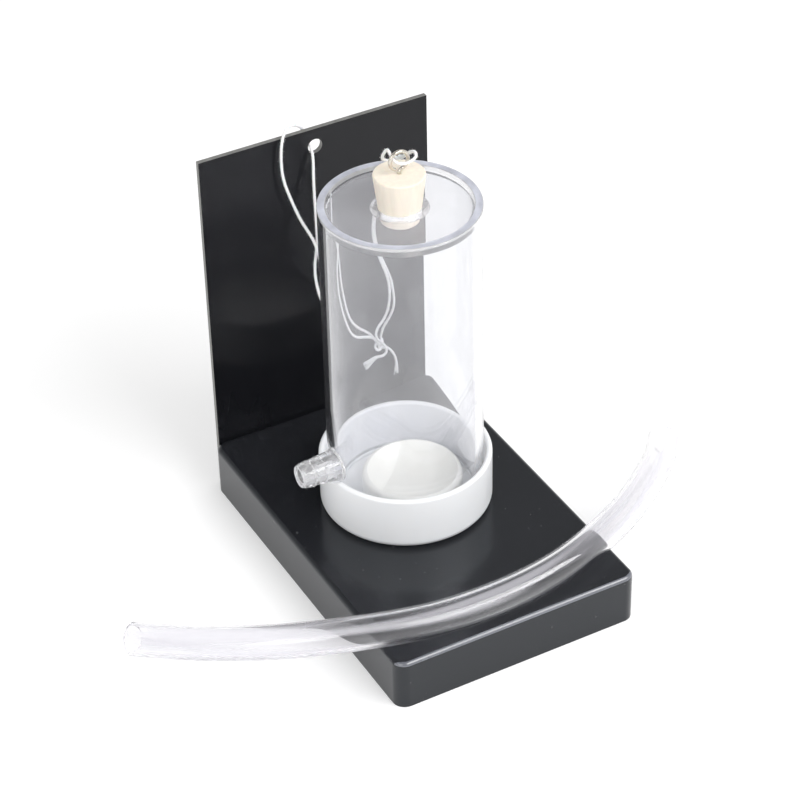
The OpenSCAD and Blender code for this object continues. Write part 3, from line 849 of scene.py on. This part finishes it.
def fibre_tree(cotton):
    """Geometry nodes that set short bent fibres all over the skin of a string."""
    tree = bpy.data.node_groups.new("string_fibres", "GeometryNodeTree")
    for name, way, kind in (
            ("String", "INPUT", "Geometry"), ("Fibres per area", "INPUT", "Float"),
            ("Fibre length", "INPUT", "Float"), ("Thickness share", "INPUT", "Float"),
            ("Seed", "INPUT", "Int"), ("Fuzzy string", "OUTPUT", "Geometry")):
        tree.interface.new_socket(name, in_out=way, socket_type="NodeSocket" + kind)
    given = tree.nodes.new("NodeGroupInput").outputs
    roots = add_node(tree, "GeometryNodeDistributePointsOnFaces", Mesh=given["String"],
                     Density=given["Fibres per area"], Seed=given["Seed"])
    bent = add_node(tree, "GeometryNodeCurveQuadraticBezier", Resolution=4,
                    Start=(0, 0, -0.1), Middle=(0, 0, 0.7), End=(0.75, 0, 0.75))
    thick = add_node(tree, "GeometryNodeCurvePrimitiveCircle", Resolution=3,
                     Radius=given["Thickness share"])
    fibre = add_node(tree, "GeometryNodeCurveToMesh", Curve=bent, Profile_Curve=thick,
                     Fill_Caps=True)
    lean = tree.nodes.new("FunctionNodeRandomValue")
    lean.data_type = "FLOAT_VECTOR"
    put(lean.inputs[0], (-0.9, -0.9, 0))
    put(lean.inputs[1], (0.9, 0.9, 2 * math.pi))
    fill(lean, Seed=given["Seed"])
    leaning = add_node(tree, "FunctionNodeEulerToRotation", Euler=lean)
    turn = tree.nodes.new("FunctionNodeRotateRotation")
    turn.rotation_space = "LOCAL"
    fill(turn, Rotation=roots.outputs["Rotation"], Rotate_By=leaning)
    shorter = tree.nodes.new("FunctionNodeRandomValue")
    shorter.data_type = "FLOAT"
    put(shorter.inputs[2], 0.35)
    put(shorter.inputs[3], 1.0)
    fill(shorter, Seed=given["Seed"])
    size = worked(tree, "MULTIPLY", shorter.outputs[1], given["Fibre length"])
    placed = add_node(tree, "GeometryNodeInstanceOnPoints", Points=roots, Instance=fibre,
                      Rotation=turn, Scale=size)
    joined = add_node(tree, "GeometryNodeJoinGeometry", Geometry=placed)
    fill(joined, Geometry=given["String"])
    real = add_node(tree, "GeometryNodeRealizeInstances", Geometry=joined)
    dressed = add_node(tree, "GeometryNodeSetMaterial", Geometry=real, Material=cotton)
    add_node(tree, "NodeGroupOutput", Fuzzy_string=dressed)
    return tree


def add_fibres(piece, tree, seed):
    """Sets the fibres of a string and turns the whole into a plain mesh."""
    string = settings().string
    fuzz = piece.modifiers.new("fibres", "NODES")
    fuzz.node_group = tree
    values = {"Fibres per area": string.fibres / MM ** 2, "Fibre length": string.fibre,
              "Thickness share": 0.035, "Seed": seed}
    for item in tree.interface.items_tree:
        if item.name in values:
            fuzz[item.identifier] = values[item.name]
    return baked(piece)


def frayed(piece, tip, heading, loose, seed):
    """The yarn ends of a cut string, loose over a length and fanned out past its tip."""
    chance = np.random.default_rng(seed)
    across = np.cross(heading, (0, 1, 0))
    across /= np.linalg.norm(across)
    upward = np.cross(heading, across)
    yarns, yarn_radius, apart = 18, 0.13 * MM, 0.45 * MM
    outline = circle(6, yarn_radius)
    share = np.linspace(0, 1, 9)[:, None]
    work = bmesh.new()
    work.from_mesh(piece.data)
    for _ in range(yarns):
        turn, reach = chance.uniform(0, 2 * math.pi), chance.uniform(0.4, 1.7) * MM
        flare = chance.uniform(0.2, 1.2) * MM
        side = math.cos(turn) * across + math.sin(turn) * upward
        start = tip - loose * heading + apart * side
        line = start + share * (loose + reach) * heading + share * flare * side
        yarn = swept("yarn", line, lambda i: outline)
        work.from_mesh(yarn)
        bpy.data.meshes.remove(yarn)
    work.to_mesh(piece.data)
    work.free()
    set_normals(piece.data, 75)


class OBJECT_OT_gas_strings(Operator):
    """The two strings and the knot that joins them"""

    bl_idname = "object.gas_strings"
    bl_label = "Strings"

    def execute(self, context):
        cotton = white_string()
        fibres = fibre_tree(cotton)
        knot = self.tie_knot(cotton, fibres)
        plate, path, length = string_mesh("string_to_plate", PLATE_ROUTE)
        add_fibres(plate, fibres, 2)
        finished(plate, "stand", "string", cotton, "plate_string")
        self.declare(plate, path, length, knot)
        stopper, path, length = string_mesh("string_to_stopper", STOPPER_ROUTE)
        add_fibres(stopper, fibres, 3)
        self.finish_stopper_string(stopper, cotton)
        self.declare(stopper, path, length, knot)
        return {"FINISHED"}

    def declare(self, piece, path, length, knot):
        """Takes a string's length, route and knot, and does nothing with them."""

    def finish_stopper_string(self, piece, cotton):
        """The string runs over the rim on to the eye; this gives it its material, fixes its place
        in its mesh and hides the plain solid it stands for.
        """
        piece.data.materials.clear()
        piece.data.materials.append(cotton)
        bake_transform(piece)
        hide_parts("stopper_string")

    def tie_knot(self, cotton, fibres):
        """Three crossing loops between the two frayed tails."""
        string = settings().string
        tilt = Matrix.Rotation(-string.knot_tilt, 3, "Y")
        turns = []
        first, step = 205, 12.4
        for k in range(26):
            t = math.radians(first + step * k)
            loop = Vector((
                math.sin(t) + 2 * math.sin(2 * t), 0.98 * math.sin(3 * t),
                math.cos(t) - 2 * math.cos(2 * t)))
            turns.append(tuple(Vector(KNOT_AT) + string.knot_size * (tilt @ loop)))
        piece, path, _ = string_mesh("knot_and_tails", LEFT_TAIL + turns + RIGHT_TAIL)
        for tip, inward, loose, seed in (
                (path[0], path[18], 6 * MM, 4), (path[-1], path[-5], 3.4 * MM, 5)):
            heading = (tip - inward) / np.linalg.norm(tip - inward)
            frayed(piece, tip, heading, loose, seed)
        add_fibres(piece, fibres, 1)
        return finished(piece, "stand", "string", cotton, "string_knot")


class OBJECT_OT_gas_base(Operator):
    """The moulded base with its ribs"""

    bl_idname = "object.gas_base"
    bl_label = "Base"

    def execute(self, context):
        black = settings().stand.black
        piece = eased_copy("base", "moulded_base", "black_moulding", black_moulding(black))
        rounding = 2.2 * MM
        # Painted highlight: the rounded front top edge takes a paler material standing for the
        # lamp's reflection
        add_second(piece, painted_highlight_edge(black), lambda face: 0.3 < face.normal.z < 0.95
                   and face.normal.y < -0.25 and face.center.z > BASE_HIGH.z - rounding)
        return {"FINISHED"}


class OBJECT_OT_gas_plate(Operator):
    """The glossy back plate with its string hole"""

    bl_idname = "object.gas_plate"
    bl_label = "Back plate"

    def execute(self, context):
        stand = settings().stand
        piece = eased_copy("back_plate", "back_sheet", "black_sheet", black_sheet(stand.sheet),
                           stand.plate_edge)
        # Partly painted highlight: the edge faces take the paler material
        add_second(piece, sawn_sheet_painted_highlight(), lambda face: abs(face.normal.y) < 0.9)
        return {"FINISHED"}


class OBJECT_OT_gas_screws(Operator):
    """Screws behind the plate and under the cup, with their washers"""

    bl_idname = "object.gas_screws"
    bl_label = "Screws"

    def execute(self, context):
        steel = screw_steel()
        for node in ("plate_screws", "cup_screws", "cup_washers"):
            eased_copy(node, node + "_eased", "screw_steel", steel, 0.12 * MM)
        return {"FINISHED"}


class OBJECT_OT_gas_cup(Operator):
    """The milky cup that holds the tube"""

    bl_idname = "object.gas_cup"
    bl_label = "Cup"

    def execute(self, context):
        milky = milky_moulding("white_moulding", settings().stand.milky, 0.35, 0.3)
        eased_copy("cup", "milky_cup", "white_moulding", milky)
        return {"FINISHED"}


class OBJECT_OT_gas_dish(Operator):
    """The ivory dish inside the tube and the gasket under the tube"""

    bl_idname = "object.gas_dish"
    bl_label = "Dish and gasket"

    def execute(self, context):
        low, high = DISH_LOW.z, DISH_HIGH.z
        radius, roll, foot = (DISH_HIGH.x - DISH_LOW.x) / 2, 2 * MM, 0.5 * MM
        crest, depth = radius - roll, 6.5 * MM
        rolled = quarter(crest, high - roll, roll, roll)
        hollow = [(crest * k / 24, high - depth + depth * (k / 24) ** 3) for k in range(24)]
        outline = [(0, low), (radius - foot, low), (radius, low + foot), *rolled, *hollow[::-1]]
        dish = turned("ivory_dish", outline, settings().clear.around)
        middle = (DISH_LOW + DISH_HIGH) / 2 - TUBE_AXIS
        dish.data.transform(Matrix.Translation((middle.x, middle.y, 0)))
        set_normals(dish.data, 50)
        ivory = milky_moulding("ivory_moulding", settings().stand.ivory, 0.25, 0.34)
        finished(dish, "stand", "ivory_moulding", ivory, "inner_dish")
        eased_copy("tube_gasket", "soft_gasket", "gasket", soft_rubber(), 0.2 * MM)
        return {"FINISHED"}


def acrylic(name, rough, haze, haze_colour, ior=None, **more):
    """A clear wall of the tube's material, or of one that bends light by another index."""
    clear = settings().clear
    return clear_wall(
        name, clear.tint, ior or clear.acrylic_ior, rough, haze, haze_colour, **more)


class OBJECT_OT_gas_tube(Operator):
    """The clear tube, drilled for the nozzle"""

    bl_idname = "object.gas_tube"
    bl_label = "Tube"

    def execute(self, context):
        clear = settings().clear
        outer = (TUBE_HIGH.x - TUBE_LOW.x) / 2
        inner = outer - clear.wall
        low, high = TUBE_LOW.z, TUBE_HIGH.z
        band, foot = high - 1.1 * MM, low + 0.6 * MM
        outline = eased(
            [(inner, low), (outer, low), (outer, band), (outer, high), (inner, high),
             (inner, DISC_SHELF)], [clear.edge, clear.edge, 0, clear.edge, clear.edge, 0], 4)
        piece = turned("clear_tube", outline, clear.around, closed=True)
        nozzle_low, nozzle_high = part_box("nozzle")
        nozzle_z = (nozzle_low.z + nozzle_high.z) / 2
        spare, drilled = 3 * MM, 4.05 * MM
        cut(piece, rod("drill", (-inner + spare, TUBE_AXIS.y, nozzle_z),
                       (-outer - spare, TUBE_AXIS.y, nozzle_z), drilled))
        set_normals(piece.data, 30)
        weighed(piece)
        finished(piece, "stand", "clear_acrylic",
                 acrylic("clear_acrylic", 0.0, 0.012, (0.9, 0.9, 0.94)), "tube")
        middle = inner + clear.wall / 2

        def faces_in(face):
            return abs(face.normal.z) < 0.5 and middle > from_axis(face)

        misted = acrylic(
            "misted_acrylic", 0.0, 0.14, (0.9, 0.9, 0.94), fade=(0.245, 0.275), inside=True)
        add_second(piece, misted, faces_in)
        # Painted light: a pale blue haze on the inner wall above the disc, standing for light
        # piped through the wall and sky reflected in it
        lip_painted_light = acrylic("lip_acrylic_painted_light", 0.1, 0.5, (0.81, 0.865, 0.97), fade=(0.95, 1.0))
        add_second(piece, lip_painted_light, lambda face: face.center.z > DISC_SHELF and faces_in(face))
        # The cut top face: frosted by the cutting, and tinted lavender as painted light standing
        # for light piped along the wall
        cut_top_painted_light = acrylic("cut_acrylic_painted_light", 0.2, 0.7, (0.78, 0.8, 0.9))
        add_second(piece, cut_top_painted_light, lambda face: face.normal.z > 0.9)
        # Painted highlight: white haze on the band just under the top, standing for the lamp's
        # highlight on the edge, and on the foot, lightening the dark line where the tube stands
        lit = acrylic("tube_painted_highlight", 0.1, 0.5, (1.0, 1.0, 1.0))
        add_second(piece, lit, lambda face: face.center.z < foot or (
            face.center.z > band and face.normal.z < 0.9))
        return {"FINISHED"}


class OBJECT_OT_gas_disc(Operator):
    """The clear disc inside the tube's top, with a low boss round its tapered hole"""

    bl_idname = "object.gas_disc"
    bl_label = "Top disc"

    def execute(self, context):
        clear = settings().clear
        outer = (DISC_HIGH.x - DISC_LOW.x) / 2
        top, low, shelf = DISC_HIGH.z, DISC_LOW.z, DISC_SHELF
        boss, bevel = 10.75 * MM, 0.8 * MM
        room, lead = 0.12 * MM, 0.25 * MM
        hole_top, hole_low = stopper_radius(top) + room, stopper_radius(low) + room
        crown = hole_top + lead
        dome = quarter(crown, shelf, boss - crown, top - shelf)
        outline = eased(
            [(hole_low, low), (outer, low), (outer, shelf - bevel), (outer - bevel, shelf),
             *dome, (hole_top, top - lead)],
            [0.15 * MM, 0.3 * MM, 0.3 * MM, 0.3 * MM, 0.2 * MM] + [0] * 10 + [0.1 * MM], 4)
        piece = turned("clear_disc", outline, clear.around, closed=True)
        set_normals(piece.data, 30)
        weighed(piece)
        finished(piece, "stand", "clear_acrylic", acrylic(
            "clear_disc", 0.0, 0.14, (0.9, 0.9, 0.94), ior=clear.disc_ior), "top_disc")
        seat = acrylic("stopper_seat", 0.05, 0.24, (0.9, 0.9, 0.93), ior=1.22, fade=(0.95, 1.0))
        add_second(piece, seat, lambda face: face.center.z > shelf + 0.02 * MM)
        # Painted shade: a grey haze on the disc's outer side, standing for the shade seen at the
        # disc's edge
        side_painted_shade = acrylic("disc_side_painted_shade", 0.3, 0.85, (0.32, 0.323, 0.335), fade=(0.95, 1.0))
        rim = outer - 0.3 * MM
        add_second(
            piece, side_painted_shade, lambda face: abs(face.normal.z) < 0.6 and from_axis(face) > rim)
        return {"FINISHED"}


class OBJECT_OT_gas_nozzle(Operator):
    """The clear barbed nozzle"""

    bl_idname = "object.gas_nozzle"
    bl_label = "Nozzle"

    def execute(self, context):
        moulded = clear_wall("clear_moulding", (0.985, 0.985, 0.99), 1.5, 0.02, 0.15,
                             (0.97, 0.97, 0.98))
        piece = eased_copy("nozzle", "clear_nozzle", "clear_moulding", moulded, 0.2 * MM)
        # Painted highlight: white haze on the narrow eased faces makes the barbs show as bright
        # lines
        edges = clear_wall("nozzle_painted_highlight", (1.0, 1.0, 1.0), 1.5, 0.1, 0.6, (1.0, 1.0, 1.0))
        narrow = 0.05 * MM * MM
        add_second(piece, edges, lambda face: face.area < narrow)
        return {"FINISHED"}


class OBJECT_OT_gas_stopper(Operator):
    """The tapered stopper"""

    bl_idname = "object.gas_stopper"
    bl_label = "Stopper"

    def execute(self, context):
        top, low = STOPPER_HIGH.z, STOPPER_LOW.z
        pilot, pilot_low = 0.75 * MM, top - 9.4 * MM
        outline = eased(
            [(0, low), (stopper_radius(low), low), (stopper_radius(top), top), (pilot, top),
             (pilot, pilot_low), (0, pilot_low)],
            [0, 0.6 * MM, 0.6 * MM, 0.15 * MM, 0, 0], 5)
        piece = turned("wooden_stopper", outline, 160)
        set_normals(piece.data, 40)
        weighed(piece)
        wood = pale_wood(settings().stand.cream)
        finished(piece, "stopper", "stopper_wood", wood, "stopper")
        return {"FINISHED"}


class OBJECT_OT_gas_eye(Operator):
    """The screw eye in the stopper"""

    bl_idname = "object.gas_eye"
    bl_label = "Screw eye"

    def execute(self, context):
        wire = (EYE_HIGH.y - EYE_LOW.y) / 2
        ring = (EYE_HIGH.x - EYE_LOW.x) / 2 - wire
        middle = EYE_HIGH.z - wire - ring
        neck = middle - ring - 1.4 * wire
        points = [(TUBE_AXIS.x, TUBE_AXIS.y, z) for z in np.linspace(EYE_LOW.z, neck, 8)]
        first, sweep, count = -74, 318, 24
        for k in range(count):
            turn = math.radians(first + k * (sweep / (count - 1)))
            points.append((TUBE_AXIS.x + ring * math.cos(turn), TUBE_AXIS.y,
                           middle + ring * math.sin(turn)))
        path, _ = smooth_path(points, 0.12 * MM)
        outline = circle(20, wire)
        mesh = swept("nickel_eye", path, lambda i: outline)
        set_normals(mesh, 60)
        piece = add_piece("nickel_eye", mesh)
        finished(piece, "stopper", "nickel_wire", nickel_wire(), "screw_eye")
        return {"FINISHED"}


class GasWorkSettings(PropertyGroup):
    """All settings of the set"""

    stand: PointerProperty(type=StandSettings)
    clear: PointerProperty(type=ClearSettings)
    string: PointerProperty(type=StringSettings)
    hose: PointerProperty(type=HoseSettings)
    stage: PointerProperty(type=StageSettings)


PIECE_OPERATORS = (
    OBJECT_OT_gas_stage, OBJECT_OT_gas_hose, OBJECT_OT_gas_strings, OBJECT_OT_gas_base,
    OBJECT_OT_gas_plate, OBJECT_OT_gas_screws, OBJECT_OT_gas_cup, OBJECT_OT_gas_dish,
    OBJECT_OT_gas_tube, OBJECT_OT_gas_disc, OBJECT_OT_gas_nozzle, OBJECT_OT_gas_stopper,
    OBJECT_OT_gas_eye,
)


class VIEW3D_PT_gas_work(Panel):
    """Lists the pieces of the set"""

    bl_label = "Gas work set"
    bl_idname = "VIEW3D_PT_gas_work"
    bl_space_type = "VIEW_3D"
    bl_region_type = "UI"
    bl_category = "Gas work"

    def draw(self, context):
        for operator in PIECE_OPERATORS:
            self.layout.operator(operator.bl_idname)
        groups = context.scene.gas_work
        for group in (groups.stand, groups.clear, groups.string, groups.hose, groups.stage):
            box = self.layout.box()
            for name in group.bl_rna.properties.keys():
                if name not in {"rna_type", "name"}:
                    box.prop(group, name)


CLASSES = (
    StandSettings, ClearSettings, StringSettings, HoseSettings, StageSettings, GasWorkSettings,
    *PIECE_OPERATORS, VIEW3D_PT_gas_work,
)


def register():
    for made in CLASSES:
        bpy.utils.register_class(made)
    bpy.types.Scene.gas_work = PointerProperty(type=GasWorkSettings)


def unregister():
    del bpy.types.Scene.gas_work
    for made in reversed(CLASSES):
        bpy.utils.unregister_class(made)


def main():
    register()
    for operator in PIECE_OPERATORS:
        getattr(bpy.ops.object, operator.bl_idname.split(".")[1])()


if __name__ == "__main__":
    main()
